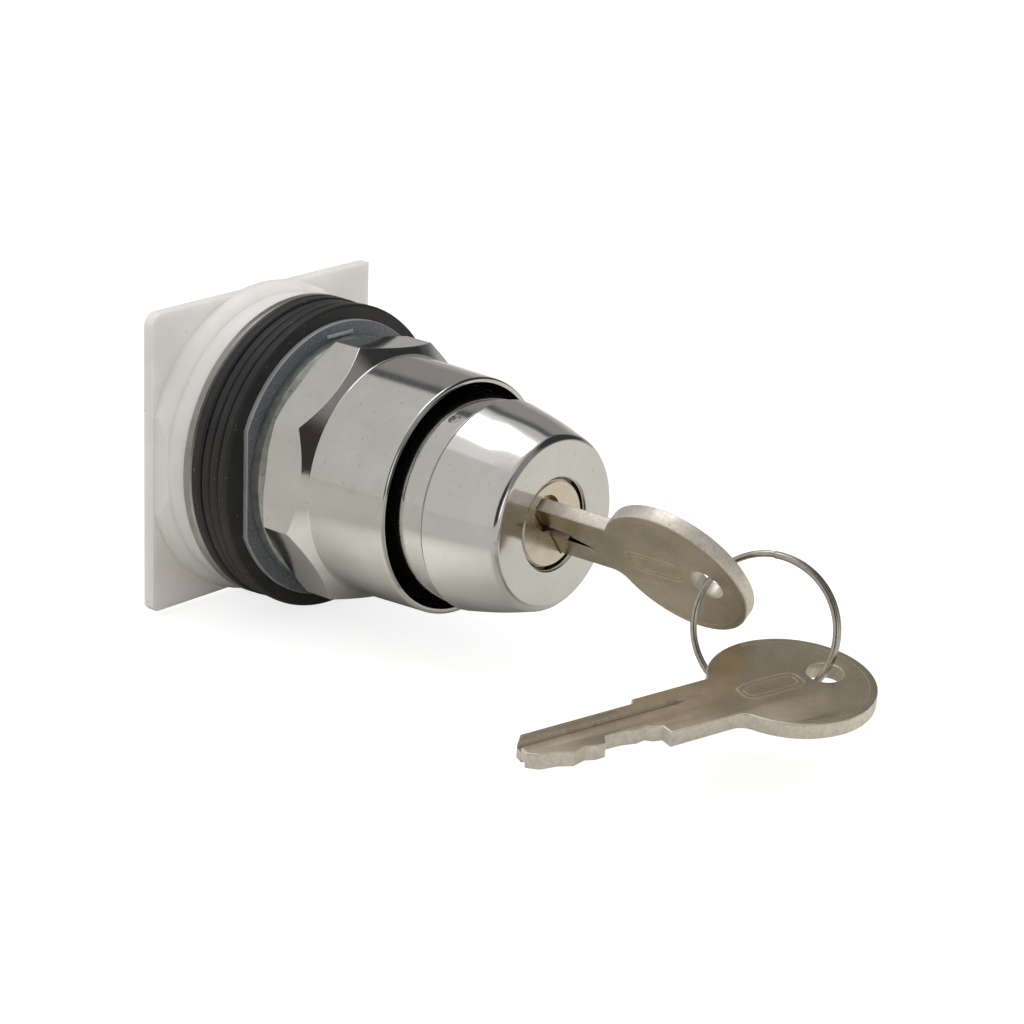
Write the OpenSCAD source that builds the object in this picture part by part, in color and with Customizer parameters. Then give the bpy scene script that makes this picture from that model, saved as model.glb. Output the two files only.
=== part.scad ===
// Key-operated selector switch, 30 mm panel class, with its key in the lock
// and a spare key on a split ring.
//
// Every sub-part is drawn in a front frame: x to the right, y up and z out of
// the panel towards the operator. facing_front() turns that frame upright, so
// in the finished model +Z is up and the lock looks along -Y.
// The origin is the centre of the flange face that seats against the panel.

/* [Base] */
// Side of the square base plate
plate_side = 44.45; // [44:0.05:46]
// Thickness of the base plate
plate_thickness = 1.8; // [1.6:0.1:2.2]
// Height of the round collar between plate and flange
collar_height = 6.1; // [6:0.1:7]
// Radius of the collar's foot, which overruns the plate at top and bottom
collar_foot_radius = 23.1; // [22.4:0.1:24]
// Radius of the collar above its foot
collar_radius = 21.9; // [21:0.1:22.2]

/* [Body] */
// Radius of the metal flange
flange_radius = 22.4; // [22:0.1:23]
// Thickness of the metal flange
flange_thickness = 1.7; // [1.5:0.1:2]
// Radius over the barrel's 30 mm thread
barrel_radius = 15; // [14.9:0.05:15.2]
// Length of the barrel in front of the flange
barrel_length = 17.3; // [17:0.1:18]

/* [Gaskets and washer] */
// Outer radius of the gasket rings
gasket_radius = 22.4; // [22:0.1:22.8]
// Thickness of each of the four gasket rings
gasket_thickness = 1.7; // [1.6:0.05:1.75]
// Outer radius of the trim washer
washer_radius = 20.3; // [20:0.1:21]
// Distance from the axis to the washer's side flats
washer_flat = 18.7; // [18:0.1:19.5]
// Thickness of the trim washer
washer_thickness = 0.8; // [0.6:0.1:1]

/* [Ring nut] */
// Radius to the corners of the octagon
nut_corner_radius = 19.8; // [19.4:0.1:20.4]
// Angle of one octagon corner above the horizontal
nut_turn = 14.5; // [0:0.5:45]
// Length of the nut from the washer to its front lip
nut_length = 24.1; // [23:0.1:25]
// Outer radius of the sleeve at its front lip
sleeve_radius = 17.05; // [17:0.05:17.3]

/* [Bonnet] */
// Radius of the bonnet's plain rear part
bonnet_radius = 14.75; // [14.5:0.05:14.9]
// Distance from the panel seat to the bonnet's front face
bonnet_front = 48.2; // [48:0.1:49]
// Radius at which the tapered cap would meet the front face
cap_front_radius = 12.4; // [12:0.1:13]
// Radius of the opening around the lock plug
lock_opening_radius = 6.57; // [6.5:0.01:6.8]

/* [Lock and drive] */
// Angle by which the key leans to the left of upright
key_lean = 35; // [0:1:45]
// Angle through which the key turns clockwise
key_throw = 70; // [40:1:75]
// Travel of each plunger over the full turn of the key
plunger_travel = 2.5; // [1.5:0.1:2.5]
// Radius of the lock plug
plug_radius = 6.25; // [6.2:0.01:6.3]

/* [Keys] */
// Radius of the round bow
bow_radius = 11.2; // [11:0.1:11.4]
// Thickness of the key blank
key_thickness = 2.2; // [2:0.05:2.25]
// Radius of the ring hole in the bow
bow_hole_radius = 2.45; // [2.4:0.05:2.6]
// Radius of the split ring to the middle of its wire
ring_radius = 9.8; // [9.6:0.05:10]
// Diameter of the split ring's wire
ring_wire = 0.9; // [0.8:0.05:0.95]

/* [Hidden] */
$fn = 64;

chrome = [0.80, 0.80, 0.79];
zinc = [0.62, 0.64, 0.61];
nickel = [0.66, 0.62, 0.55];
steel = [0.60, 0.61, 0.63];
brass = [0.80, 0.65, 0.32];
black_rubber = [0.10, 0.10, 0.11];
milky_plastic = [0.86, 0.86, 0.84];
grey_plastic = [0.48, 0.50, 0.53];

// Stations along the axis, from the panel seat at 0
flange_back = -flange_thickness;
plate_front = flange_back - collar_height;
plate_back = plate_front - plate_thickness;
washer_back = 4 * gasket_thickness;
nut_back = washer_back + washer_thickness;
octagon_back = nut_back + 3;
nut_front = nut_back + nut_length;
cap_back = 37.1;
plug_face = bonnet_front - 0.4;

// Hollow of the body in which the rotor turns
rotor_bore = 11.5;
spigot_radius = 13.5;
spigot_back = flange_back - 3;
shoulder_back = 12;
shoulder_front = 14;
hub_radius = 5.9;
hub_front = 15.5;
running_clearance = 0.1;

// Screw bosses and threaded inserts in the base
screw_circle = 17.6;
screw_radius = 1.5;
boss_radius = 3.2;
boss_back = flange_back - 3.3;
screw_tip = -0.6;
insert_offset = 14.3;
insert_radius = 2.5;
insert_hole_radius = 1.4;
insert_front = plate_back + 4.4;

// Plungers, their springs and the cam that drives them
plunger_offset = 8.5;
plunger_radius = 1.5;
plunger_collar_radius = 2.4;
pocket_radius = 2.6;
pocket_floor = -6.2;
ramp_face = 4;
plunger_gap = 0.25;
plunger_tip = ramp_face - plunger_gap;
plunger_length = plunger_tip - plate_back;
plunger_collar_back = 4.15;
plunger_collar_height = 1;

// Detent balls in the rotor
ball_circle = 8.7;
ball_radius = 1.5;
ball_centre = shoulder_back - 0.05 - ball_radius;

// Lock
lock_bore = 9;
lock_back = 25;
plug_back = 27;
stub_radius = 4.6;
stub_back = 21.5;
clip_groove_radius = 3.8;
clip_back = 23.9;
clip_thickness = 0.7;
tail_width = 5.9;
tail_thickness = 1.6;
tail_back = 4.6;
wafer_count = 5;
wafer_first = 31;
wafer_pitch = 2.9;
wafer_thickness = 1;
keyway_low = -3.6;
keyway_high = 4.7;
keyway_width = 2.4;
pin_angle = 115;
pin_station = 34.9;
pin_radius = 0.9;

// Key outline, from the middle of the bow, with the blade towards -x and the
// plain back edge towards +y
blade_tip = -41.3;
back_shoulder = -21.7;
cut_shoulder = -22;
back_edge = 5.5;
blade_back_edge = 4.6;
cut_edge = -3.7;
hole_offset = [5.2, -0.3];
bow_to_axis = -1.3;
key_sink = 0.7;
bow_station = bonnet_front - back_shoulder - key_sink;

// The split ring and the spare key as they hang, in the upright frame
ring_centre = [2.366, -82.663, -6.378];
ring_tilt = 104;
ring_yaw = 18.6;
spare_hole = [3.6, -91.7, -11.5];
spare_key_turn = [8, -2.7, -15.8];

function arc(centre, r, from, to, steps) = [for (i = [0:steps])
    let (a = from + (to - from) * i / steps)
    centre + r * [cos(a), sin(a)]];

function coil_points(r, wire, length, turns, steps, sides) = [
    for (i = [0:steps * turns])
    let (a = 360 * i / steps, rise = wire + (length - 2 * wire) * i / (steps * turns))
    for (j = [0:sides - 1])
    let (b = 360 * j / sides)
    [(r + wire * cos(b)) * cos(a), (r + wire * cos(b)) * sin(a), rise + wire * sin(b)]];

function tube_faces(rings, sides) = concat(
    [[for (j = [sides - 1:-1:0]) j]],
    [for (i = [0:rings - 2]) for (j = [0:sides - 1])
        let (k = (j + 1) % sides)
        for (face = [[i * sides + j, (i + 1) * sides + k, (i + 1) * sides + j],
                     [i * sides + j, i * sides + k, (i + 1) * sides + k]]) face],
    [[for (j = [0:sides - 1]) (rings - 1) * sides + j]]);

// Turns the front frame upright
module facing_front() rotate([90, 0, 0]) children();

// Turns what is drawn with the key upright to the resting key
module with_key() rotate([0, 0, key_lean]) children();

module rod(r, from, to) translate([0, 0, from]) cylinder(r = r, h = to - from);

module coil_spring(r, wire, length, turns, steps, sides)
    polyhedron(points = coil_points(r, wire, length, turns, steps, sides),
        faces = tube_faces(steps * turns + 1, sides));

// A gasket ring with rounded rims
module gasket(index, radius) {
    low = index * gasket_thickness;
    high = low + gasket_thickness;
    rim = 0.45;
    color(black_rubber) facing_front() rotate_extrude() polygon(concat(
        [[barrel_radius + 0.2, low]],
        arc([radius - rim, low + rim], rim, -90, 0, 4),
        arc([radius - rim, high - rim], rim, 0, 90, 4),
        [[barrel_radius + 0.2, high]]));
}

module plate_outline() {
    side = plate_side / 2;
    corner = 2;
    cut = 0.8;
    polygon(concat(arc([corner - side, side - corner], corner, 180, 90, 6),
        [[side, side], [side, -side], [cut - side, -side], [-side, cut - side]]));
}

module base_plate() color(milky_plastic) facing_front() difference() {
    union() {
        translate([0, 0, plate_back]) linear_extrude(plate_thickness) plate_outline();
        intersection() {
            rotate_extrude() polygon([[0, plate_front - 0.5],
                [collar_foot_radius, plate_front - 0.5],
                [collar_foot_radius, plate_front + 1],
                [collar_foot_radius - 0.8, plate_front + 2.6],
                [collar_radius, plate_front + 2.8],
                [collar_radius, flange_back], [0, flange_back]]);
            cube([plate_side - 0.6, 60, 60], center = true);
        }
        rod(4, flange_back - 0.5, 1.6);
    }
    // Recess for the body's rear spigot
    difference() {
        rod(spigot_radius + 0.1, spigot_back - 0.1, flange_back + 0.5);
        rod(rotor_bore - 0.1, spigot_back - 0.2, flange_back + 1);
    }
    for (side = [-1, 1]) translate([side * plunger_offset, 0, 0]) {
        rod(pocket_radius, pocket_floor, flange_back + 1);
        rod(plunger_radius + 0.08, plate_back - 1, pocket_floor + 1);
    }
    for (turn = [45, 225]) rotate([0, 0, turn]) translate([screw_circle, 0, 0]) {
        rod(boss_radius + 0.1, boss_back - 0.1, flange_back + 1);
        rod(screw_radius + 0.1, plate_back - 1, boss_back);
        rod(2.9, plate_back - 1, plate_back + 2);
    }
    for (side = [-1, 1]) translate([0, side * insert_offset, 0])
        rod(insert_radius, plate_back - 1, insert_front);
}

module operator_body() color(zinc) facing_front() difference() {
    union() {
        rotate_extrude() polygon([[0, spigot_back], [spigot_radius, spigot_back],
            [spigot_radius, flange_back], [flange_radius - 0.3, flange_back],
            [flange_radius, flange_back + 0.3], [flange_radius, -0.3],
            [flange_radius - 0.3, 0], [barrel_radius, 0],
            [barrel_radius, barrel_length - 0.4],
            [barrel_radius - 0.4, barrel_length], [0, barrel_length]]);
        for (turn = [45, 225]) rotate([0, 0, turn]) translate([screw_circle, 0, 0])
            rod(boss_radius, boss_back, flange_back + 0.5);
    }
    rod(rotor_bore, spigot_back - 1, shoulder_back);
    rod(hub_radius + running_clearance, shoulder_back - 1, shoulder_front + 1);
    rod(12, shoulder_front, barrel_length + 1);
    for (turn = [45, 225]) rotate([0, 0, turn]) translate([screw_circle, 0, 0])
        rod(screw_radius, boss_back - 1, screw_tip);
    // Dimples that the detent balls drop into at both ends of the turn
    for (turn = [90, 90 - key_throw, 270, 270 - key_throw]) rotate([0, 0, turn])
        translate([ball_circle, 0, shoulder_back - 0.8]) sphere(r = ball_radius + 0.05);
}

module rear_gasket() gasket(0, gasket_radius);
module inner_spacer_gasket() gasket(1, gasket_radius - 0.25);
module outer_spacer_gasket() gasket(2, gasket_radius - 0.1);
module front_gasket() gasket(3, gasket_radius);

module trim_washer() color(grey_plastic) facing_front() {
    rib = [5.2, 0.5, 0.4];
    difference() {
        intersection() {
            rod(washer_radius, washer_back, nut_back);
            cube([2 * washer_flat, 60, 60], center = true);
        }
        rod(barrel_radius + 0.2, washer_back - 1, nut_back + 1);
    }
    translate([-0.4, 19.3, nut_back + rib[2] / 2 - 0.1]) cube(rib, center = true);
}

module ring_nut() color(chrome) facing_front() difference() {
    chamfer_front = octagon_back + 7.6;
    sleeve_root = sleeve_radius + 0.35;
    over = nut_corner_radius + 0.5;
    inside = sleeve_root - 1;
    union() {
        rotate_extrude() polygon([[0, nut_back], [18.2, nut_back], [18.2, nut_back + 1.6],
            [17.6, octagon_back + 0.2], [0, octagon_back + 0.2]]);
        // The octagon, its corners turned off by a cone at each end
        intersection() {
            translate([0, 0, octagon_back]) rotate([0, 0, nut_turn])
                cylinder(r = nut_corner_radius, h = 10, $fn = 8);
            rotate_extrude() polygon([[0, octagon_back], [over - 1.7, octagon_back],
                [over, octagon_back + 1], [over, chamfer_front + sleeve_root - over],
                [inside, chamfer_front + sleeve_root - inside],
                [0, chamfer_front + sleeve_root - inside]]);
        }
        rotate_extrude() polygon(concat(
            [[0, octagon_back + 1], [sleeve_root, octagon_back + 1],
             [sleeve_root, chamfer_front]],
            arc([sleeve_radius - 0.4, nut_front - 0.4], 0.4, 0, 90, 4),
            [[0, nut_front]]));
    }
    rod(barrel_radius + 0.05, nut_back - 1, barrel_length + 0.1);
    rod(16.25, barrel_length, nut_front + 1);
}

module bonnet() color(chrome) facing_front() difference() {
    nose = 1.6;
    rim = 0.5;
    cap_back_radius = bonnet_radius + 0.4;
    rotate_extrude() polygon(concat(
        [[0, shoulder_front + 0.3], [11.9, shoulder_front + 0.3],
         [11.9, barrel_length], [bonnet_radius, barrel_length],
         [bonnet_radius, cap_back - 0.3], [bonnet_radius - 0.25, cap_back - 0.3],
         [bonnet_radius - 0.25, cap_back]],
        arc([cap_back_radius - rim, cap_back + rim], rim, -90, 14, 4),
        arc([cap_front_radius - nose * 0.8, bonnet_front - nose], nose, 14, 90, 6),
        [[0, bonnet_front]]));
    rod(lock_bore, shoulder_front - 1, bonnet_front - 1.6);
    rod(lock_opening_radius, bonnet_front - 2, bonnet_front + 1);
    rotate([0, 0, pin_angle]) translate([0, 0, pin_station])
        rotate([0, 90, 0]) rod(pin_radius, lock_bore - 1, bonnet_radius + 1);
}

module bonnet_seal() color(black_rubber) facing_front() rotate_extrude()
    polygon(concat([[bonnet_radius + 0.05, barrel_length + 0.1]],
        arc([15.6, barrel_length + 1.4], 0.55, 0, 180, 6),
        [[bonnet_radius + 0.05, barrel_length + 1.4]],
        [[bonnet_radius + 0.05, barrel_length + 0.1]]));

module lock_barrel() color(zinc) facing_front() difference() {
    rod(lock_bore - 0.1, lock_back, bonnet_front - 1.7);
    rod(plug_radius + running_clearance, plug_back - 0.1, bonnet_front);
    rod(stub_radius + running_clearance, lock_back - 1, plug_back);
    // Channels that catch the wafers when the key is out
    with_key() translate([-3.7, -7.4, wafer_first - 1]) cube([7.4, 14.8, 15]);
    rotate([0, 0, pin_angle]) translate([0, 0, pin_station])
        rotate([0, 90, 0]) rod(pin_radius, 7.6, lock_bore + 1);
}

module barrel_pin() color(steel) facing_front() rotate([0, 0, pin_angle])
    translate([0, 0, pin_station]) rotate([0, 90, 0]) rod(pin_radius, 7.6, bonnet_radius - 0.35);

module base_screws() color(steel) facing_front()
    for (turn = [45, 225]) rotate([0, 0, turn]) translate([screw_circle, 0, 0]) {
        rod(screw_radius, plate_back + 1, screw_tip);
        difference() {
            rod(2.7, plate_back + 0.2, plate_back + 2);
            translate([-3, -0.35, plate_back]) cube([6, 0.7, 0.9]);
        }
    }

module contact_inserts() color(brass) facing_front()
    for (side = [-1, 1]) translate([0, side * insert_offset, 0]) difference() {
        rod(insert_radius, plate_back, insert_front);
        rod(insert_hole_radius, plate_back - 1, insert_front - 0.6);
    }

module wafer_stations() for (i = [0:wafer_count - 1])
    translate([0, 0, wafer_first + i * wafer_pitch]) children();

module lock_plug() color(nickel) facing_front() with_key() difference() {
    union() {
        rotate_extrude() polygon([[0, plug_back], [plug_radius, plug_back],
            [plug_radius, plug_face - 0.3], [plug_radius - 0.3, plug_face], [0, plug_face]]);
        rod(stub_radius, stub_back, plug_back + 0.5);
    }
    // Keyway, deeper for the key's shoulder, with a round recess at its upper end
    translate([-keyway_width / 2, bow_to_axis + cut_edge - 0.15, plug_face - 0.9])
        cube([keyway_width, 3, 2]);
    translate([-keyway_width / 2, keyway_low, bow_station + blade_tip - 0.4])
        cube([keyway_width, keyway_high - keyway_low, 30]);
    translate([0, 2.2, 0]) rod(2.6, plug_face - 1, plug_face + 1);
    wafer_stations() translate([-3.55, -8, -0.05]) cube([7.1, 16, wafer_thickness + 0.1]);
    difference() {
        rod(stub_radius + 1, clip_back - 0.05, clip_back + clip_thickness + 0.05);
        rod(clip_groove_radius, clip_back - 1, clip_back + 2);
    }
    translate([-tail_thickness / 2 - 0.05, -tail_width / 2 - 0.05, stub_back - 1])
        cube([tail_thickness + 0.1, tail_width + 0.1, 4.6]);
}

module lock_wafers() color(brass) facing_front() with_key() wafer_stations()
    linear_extrude(wafer_thickness) difference() {
        intersection() {
            circle(r = plug_radius - 0.1);
            square([7, 14], center = true);
        }
        translate([-keyway_width / 2, keyway_low])
            square([keyway_width, keyway_high - keyway_low]);
        translate([2.2, -5]) square([2, 4.6]);
    }

module wafer_springs() color(steel) facing_front() with_key() wafer_stations()
    translate([2.8, -4.7, wafer_thickness / 2]) rotate([-90, 0, 0])
        coil_spring(0.36, 0.1, 4.1, 4, 10, 6);

module plug_clip() color(steel) facing_front() with_key() difference() {
    rod(6.1, clip_back, clip_back + clip_thickness);
    rod(clip_groove_radius + 0.05, clip_back - 1, clip_back + 2);
    translate([0, -3.2, clip_back - 1]) cube([10, 6.4, 3]);
}

module drive_tail() color(steel) facing_front() with_key()
    translate([-tail_thickness / 2, -tail_width / 2, tail_back])
        cube([tail_thickness, tail_width, stub_back + 3.4 - tail_back]);

// A helical cam face: its height falls or rises steadily with the angle
module cam_ramp(start, low, high) {
    steps = 24;
    spread = 14;
    sweep = key_throw + 2 * spread;
    slope = (high - low) / key_throw;
    rings = [for (i = [0:steps])
        let (a = start - spread + sweep * i / steps,
             face = ramp_face - low - slope * (sweep * i / steps - spread))
        for (corner = [[6.6, face], [10.4, face], [10.4, 6.6], [6.6, 6.6]])
            [corner[0] * cos(a), corner[0] * sin(a), corner[1]]];
    polyhedron(points = rings, faces = tube_faces(steps + 1, 4));
}

module cam_rotor() color(grey_plastic) facing_front() difference() {
    union() {
        rod(rotor_bore - running_clearance, 6.2, shoulder_back - 0.3);
        rod(hub_radius, 6.2, hub_front);
        rod(5.6, 1.9, 6.5);
        cam_ramp(180, plunger_travel, 0);
        cam_ramp(0, 0, plunger_travel);
    }
    for (turn = [90, 270]) rotate([0, 0, turn]) translate([ball_circle, 0, 0])
        rod(ball_radius + 0.1, 6.9, shoulder_back);
    with_key() translate([-tail_thickness / 2 - 0.05, -tail_width / 2 - 0.05, tail_back - 0.1])
        cube([tail_thickness + 0.1, tail_width + 0.1, 20]);
}

module detent_balls() color(steel) facing_front()
    for (turn = [90, 270]) rotate([0, 0, turn])
        translate([ball_circle, 0, ball_centre]) sphere(r = ball_radius);

module detent_springs() color(steel) facing_front()
    for (turn = [90, 270]) rotate([0, 0, turn])
        translate([ball_circle, 0, 6.95]) coil_spring(1.1, 0.2, 1.9, 3, 16, 8);

// A plunger rod with a domed tip, drawn as it stands when pushed in by push
module plunger(side, push) color(grey_plastic) facing_front()
    translate([side * plunger_offset, 0, plunger_tip - push]) {
        rod(plunger_radius, -plunger_length, -plunger_radius);
        translate([0, 0, -plunger_radius]) sphere(r = plunger_radius);
        rod(plunger_collar_radius, -plunger_collar_back,
            plunger_collar_height - plunger_collar_back);
    }

module plunger_spring(side, push) color(steel) facing_front() {
    top = plunger_tip - push - plunger_collar_back - 0.02;
    translate([side * plunger_offset, 0, pocket_floor + 0.02])
        coil_spring(2.1, 0.2, top - pocket_floor - 0.04, 5, 20, 8);
}

module left_plunger() plunger(-1, plunger_travel);
module right_plunger() plunger(1, 0);
module left_plunger_spring() plunger_spring(-1, plunger_travel);
module right_plunger_spring() plunger_spring(1, 0);

module key_outline() {
    neck = 2.4;
    neck_angle = 180 + asin((neck - cut_edge) / (bow_radius + neck));
    neck_centre = (bow_radius + neck) * [cos(neck_angle), sin(neck_angle)];
    circle(r = bow_radius);
    polygon(concat(
        [[-5, back_edge], [back_shoulder, back_edge],
         [back_shoulder - 0.5, blade_back_edge], [-39.4, blade_back_edge],
         [-40.9, 3], [blade_tip, 0.4], [-39.9, -0.8],
         [-37.4, -1.2], [-35.6, -2], [-33.6, -1.5], [-32.4, -2], [-30.9, -2],
         [-30, -0.5], [-27.4, -0.6], [-25.4, -1.1], [-24, -0.9], [-23.2, -1.6],
         [cut_shoulder, -1.9], [cut_shoulder, cut_edge]],
        arc(neck_centre, neck, 90, neck_angle - 180, 6),
        [[0, 0]]));
}

// Key blank: bow centre at the origin, its marked face towards +z
module key() color(nickel) difference() {
    groove_depth = 0.5;
    groove_floor = key_thickness / 2 - groove_depth;
    linear_extrude(key_thickness, center = true) key_outline();
    translate([hole_offset[0], hole_offset[1], -5]) cylinder(r = bow_hole_radius, h = 10);
    translate([-50, 2.5, groove_floor]) cube([38.5, 0.9, 2]);
    translate([-50, 0.6, -groove_floor - 2]) cube([38.5, 1.2, 2]);
}

// Carries the key's own frame to the lock
module in_lock() facing_front() with_key()
    translate([0, bow_to_axis, bow_station]) rotate([0, -90, 0]) children();

module operating_key() in_lock() key();

// One turn of wire all round and part of a second turn beside it
module key_ring() color(steel) translate(ring_centre) rotate([0, ring_tilt, ring_yaw]) {
    wire = ring_wire / 2;
    lap = 0.92 * wire;
    translate([0, 0, -lap]) rotate_extrude() translate([ring_radius, 0]) circle(r = wire, $fn = 24);
    translate([0, 0, lap]) rotate([0, 0, 180]) rotate_extrude(angle = 216)
        translate([ring_radius, 0]) circle(r = wire, $fn = 24);
}

module spare_key() translate(spare_hole) rotate(spare_key_turn)
    translate([-hole_offset[0], -hole_offset[1], 0]) key();

base_plate();
operator_body();
rear_gasket();
inner_spacer_gasket();
outer_spacer_gasket();
front_gasket();
trim_washer();
ring_nut();
bonnet();
bonnet_seal();
lock_barrel();
barrel_pin();
base_screws();
contact_inserts();
lock_plug();
lock_wafers();
wafer_springs();
plug_clip();
drive_tail();
cam_rotor();
detent_balls();
detent_springs();
left_plunger();
right_plunger();
left_plunger_spring();
right_plunger_spring();
operating_key();
key_ring();
spare_key();
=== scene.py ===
"""Looks of the key-operated selector switch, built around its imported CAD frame.

Shapes are worked out in millimetres in the CAD source's front frame, with x to
the right, y up and f out of the panel, and put in the row frame by front().
"""

import math

import bmesh
import bpy
from mathutils import Matrix, Vector, noise


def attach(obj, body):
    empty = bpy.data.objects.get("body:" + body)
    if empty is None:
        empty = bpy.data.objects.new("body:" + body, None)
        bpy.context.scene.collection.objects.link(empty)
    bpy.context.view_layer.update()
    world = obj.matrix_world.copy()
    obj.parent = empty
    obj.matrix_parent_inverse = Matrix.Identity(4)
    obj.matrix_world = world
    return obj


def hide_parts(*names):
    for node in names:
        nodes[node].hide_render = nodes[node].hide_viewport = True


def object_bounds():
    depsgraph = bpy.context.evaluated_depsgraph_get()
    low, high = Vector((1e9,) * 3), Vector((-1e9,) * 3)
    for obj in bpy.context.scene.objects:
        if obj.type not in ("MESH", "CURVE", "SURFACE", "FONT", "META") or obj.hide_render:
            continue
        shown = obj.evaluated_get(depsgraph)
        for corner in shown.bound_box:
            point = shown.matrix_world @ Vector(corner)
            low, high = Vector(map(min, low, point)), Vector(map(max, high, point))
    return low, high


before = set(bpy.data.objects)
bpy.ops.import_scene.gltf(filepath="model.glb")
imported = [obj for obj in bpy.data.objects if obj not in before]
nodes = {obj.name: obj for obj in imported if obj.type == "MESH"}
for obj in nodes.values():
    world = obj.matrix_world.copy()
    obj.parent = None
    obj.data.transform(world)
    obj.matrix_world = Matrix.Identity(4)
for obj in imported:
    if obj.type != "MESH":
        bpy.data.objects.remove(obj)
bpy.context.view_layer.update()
MM = 0.001
ROUND = math.tau

# Sizes shared with the CAD source, in mm and degrees. A front, a back or a station is a
# distance in front of the panel seat.
GASKET_THICKNESS = 1.7
RING_BORE = 15.2
WASHER_RADIUS, WASHER_FLAT = 20.3, 18.7
WASHER_BACK, WASHER_FRONT = 6.8, 7.6
NUT_CORNER, NUT_TURN = 19.8, 14.5
NUT_BORE, SLEEVE_BORE = 15.05, 16.25
BARREL_FRONT = 17.3
SLEEVE_FRONT = 31.7
BONNET_FRONT = 48.2
PIN_ANGLE, PIN_STATION, PIN_RADIUS = 115, 34.9, 0.9
KEY_LEAN, KEY_SINK, KEY_SHOULDER = 35, 0.7, 21.7
KEY_THICKNESS = 2.2
BOW, BACK, CUT = 11.2, 5.5, -3.7
BOW_HOLE_X, BOW_HOLE_Y, BOW_HOLE_RADIUS = 5.2, -0.3, 2.45
RING_RADIUS, RING_WIRE_RADIUS = 9.8, 0.45
RING_CENTRE = (2.366, -82.663, -6.378)
SPARE_HOLE = (3.6, -91.7, -11.5)


# ---------------------------------------------------------------- camera
def add_camera():
    """The photograph's viewpoint, fitted to the square plate and the coaxial circles."""
    place = Vector((-0.33292, -0.31944, 0.14811))
    ahead = Vector((0.72542, 0.60781, -0.32301)).normalized()
    right = Vector((0.65065, -0.75863, 0.03369)).normalized()
    up = right.cross(ahead).normalized()
    right = ahead.cross(up).normalized()
    data = bpy.data.cameras.new("photo_camera")
    data.lens, data.sensor_width = 116.7, 36  # both in mm
    data.clip_start, data.clip_end = 0.01, 20
    camera = bpy.data.objects.new("photo_camera", data)
    bpy.context.scene.collection.objects.link(camera)
    turn = Matrix((right, up, -ahead)).transposed().to_4x4()
    camera.matrix_world = Matrix.Translation(place) @ turn
    bpy.context.scene.camera = camera


add_camera()


# ---------------------------------------------------------------- materials
def start_material(name):
    """A new material, its node tree, its shader and its object coordinates."""
    made = bpy.data.materials.new(name)
    made.use_nodes = True
    tree = made.node_tree
    shader = tree.nodes["Principled BSDF"]
    where = tree.nodes.new("ShaderNodeTexCoord").outputs["Object"]
    return made, tree, shader, where


def grain(tree, where, size_mm, detail=3.0, roughness=0.5):
    """Noise whose features are about size_mm across."""
    mapping = tree.nodes.new("ShaderNodeMapping")
    mapping.inputs["Scale"].default_value = [1 / (size_mm * MM)] * 3
    tree.links.new(where, mapping.inputs["Vector"])
    texture = tree.nodes.new("ShaderNodeTexNoise")
    texture.inputs["Scale"].default_value = 1
    texture.inputs["Detail"].default_value = detail
    texture.inputs["Roughness"].default_value = roughness
    tree.links.new(mapping.outputs["Vector"], texture.inputs["Vector"])
    return texture.outputs["Fac"]


def remap(tree, value, low, high, from_low=0.3, from_high=0.7):
    """value stretched from its own range to low and high, and held there beyond it."""
    node = tree.nodes.new("ShaderNodeMapRange")
    node.inputs["From Min"].default_value = from_low
    node.inputs["From Max"].default_value = from_high
    node.inputs["To Min"].default_value = low
    node.inputs["To Max"].default_value = high
    tree.links.new(value, node.inputs["Value"])
    return node.outputs["Result"]


def blend_colours(tree, share, first, second):
    """first where share is 0 and second where it is 1. Each is a colour or a socket."""
    node = tree.nodes.new("ShaderNodeMix")
    node.data_type = "RGBA"
    tree.links.new(share, node.inputs["Factor"])
    for socket, value in ((node.inputs[6], first), (node.inputs[7], second)):
        if isinstance(value, tuple):
            socket.default_value = (*value, 1)
        else:
            tree.links.new(value, socket)
    return node.outputs[2]


def relief(tree, shader, layers):
    """Bumps from (height socket, depth in mm, strength), one over another."""
    normal = None
    for height, depth, strength in layers:
        node = tree.nodes.new("ShaderNodeBump")
        node.inputs["Strength"].default_value = strength
        node.inputs["Distance"].default_value = depth * MM
        tree.links.new(height, node.inputs["Height"])
        if normal:
            tree.links.new(normal, node.inputs["Normal"])
        normal = node.outputs["Normal"]
    tree.links.new(normal, shader.inputs["Normal"])


def metal(name, bright, dull, gloss, mottle_mm, orange_peel, fine, fine_mm,
          pits=0.0, bare=1.0, fine_depth=0.006):
    """Metal with cloudy colour and gloss, soft waves and a fine grain.

    gloss is the least and the most roughness. orange_peel is the strength of the
    waves, and fine, fine_mm and fine_depth are the grain's strength, size and depth.
    pits is how far dark specks cover the colour. bare is below 1 where the surface
    is too rough to mirror all of the light.
    """
    pit_mm, pit_tone, wave_mm, wave_depth = 0.55, 0.25, 2.2, 0.02
    made, tree, shader, where = start_material(name)
    cloud = grain(tree, where, mottle_mm, 4.0, 0.6)
    speck = grain(tree, where, fine_mm, 2.0, 0.6)
    colour = blend_colours(tree, remap(tree, cloud, 0, 1), bright, dull)
    if pits:
        dark = grain(tree, where, pit_mm, 1.0, 0.5)
        colour = blend_colours(tree, remap(tree, dark, 0, pits, 0.72, 0.76), colour,
                               tuple(pit_tone * c for c in dull))
    tree.links.new(colour, shader.inputs["Base Color"])
    tree.links.new(remap(tree, speck, gloss[0], gloss[1], 0.25, 0.75), shader.inputs["Roughness"])
    shader.inputs["Metallic"].default_value = bare
    waves = grain(tree, where, wave_mm, 2.0, 0.4)
    relief(tree, shader, [(waves, wave_depth, orange_peel), (speck, fine_depth, fine)])
    return made


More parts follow.
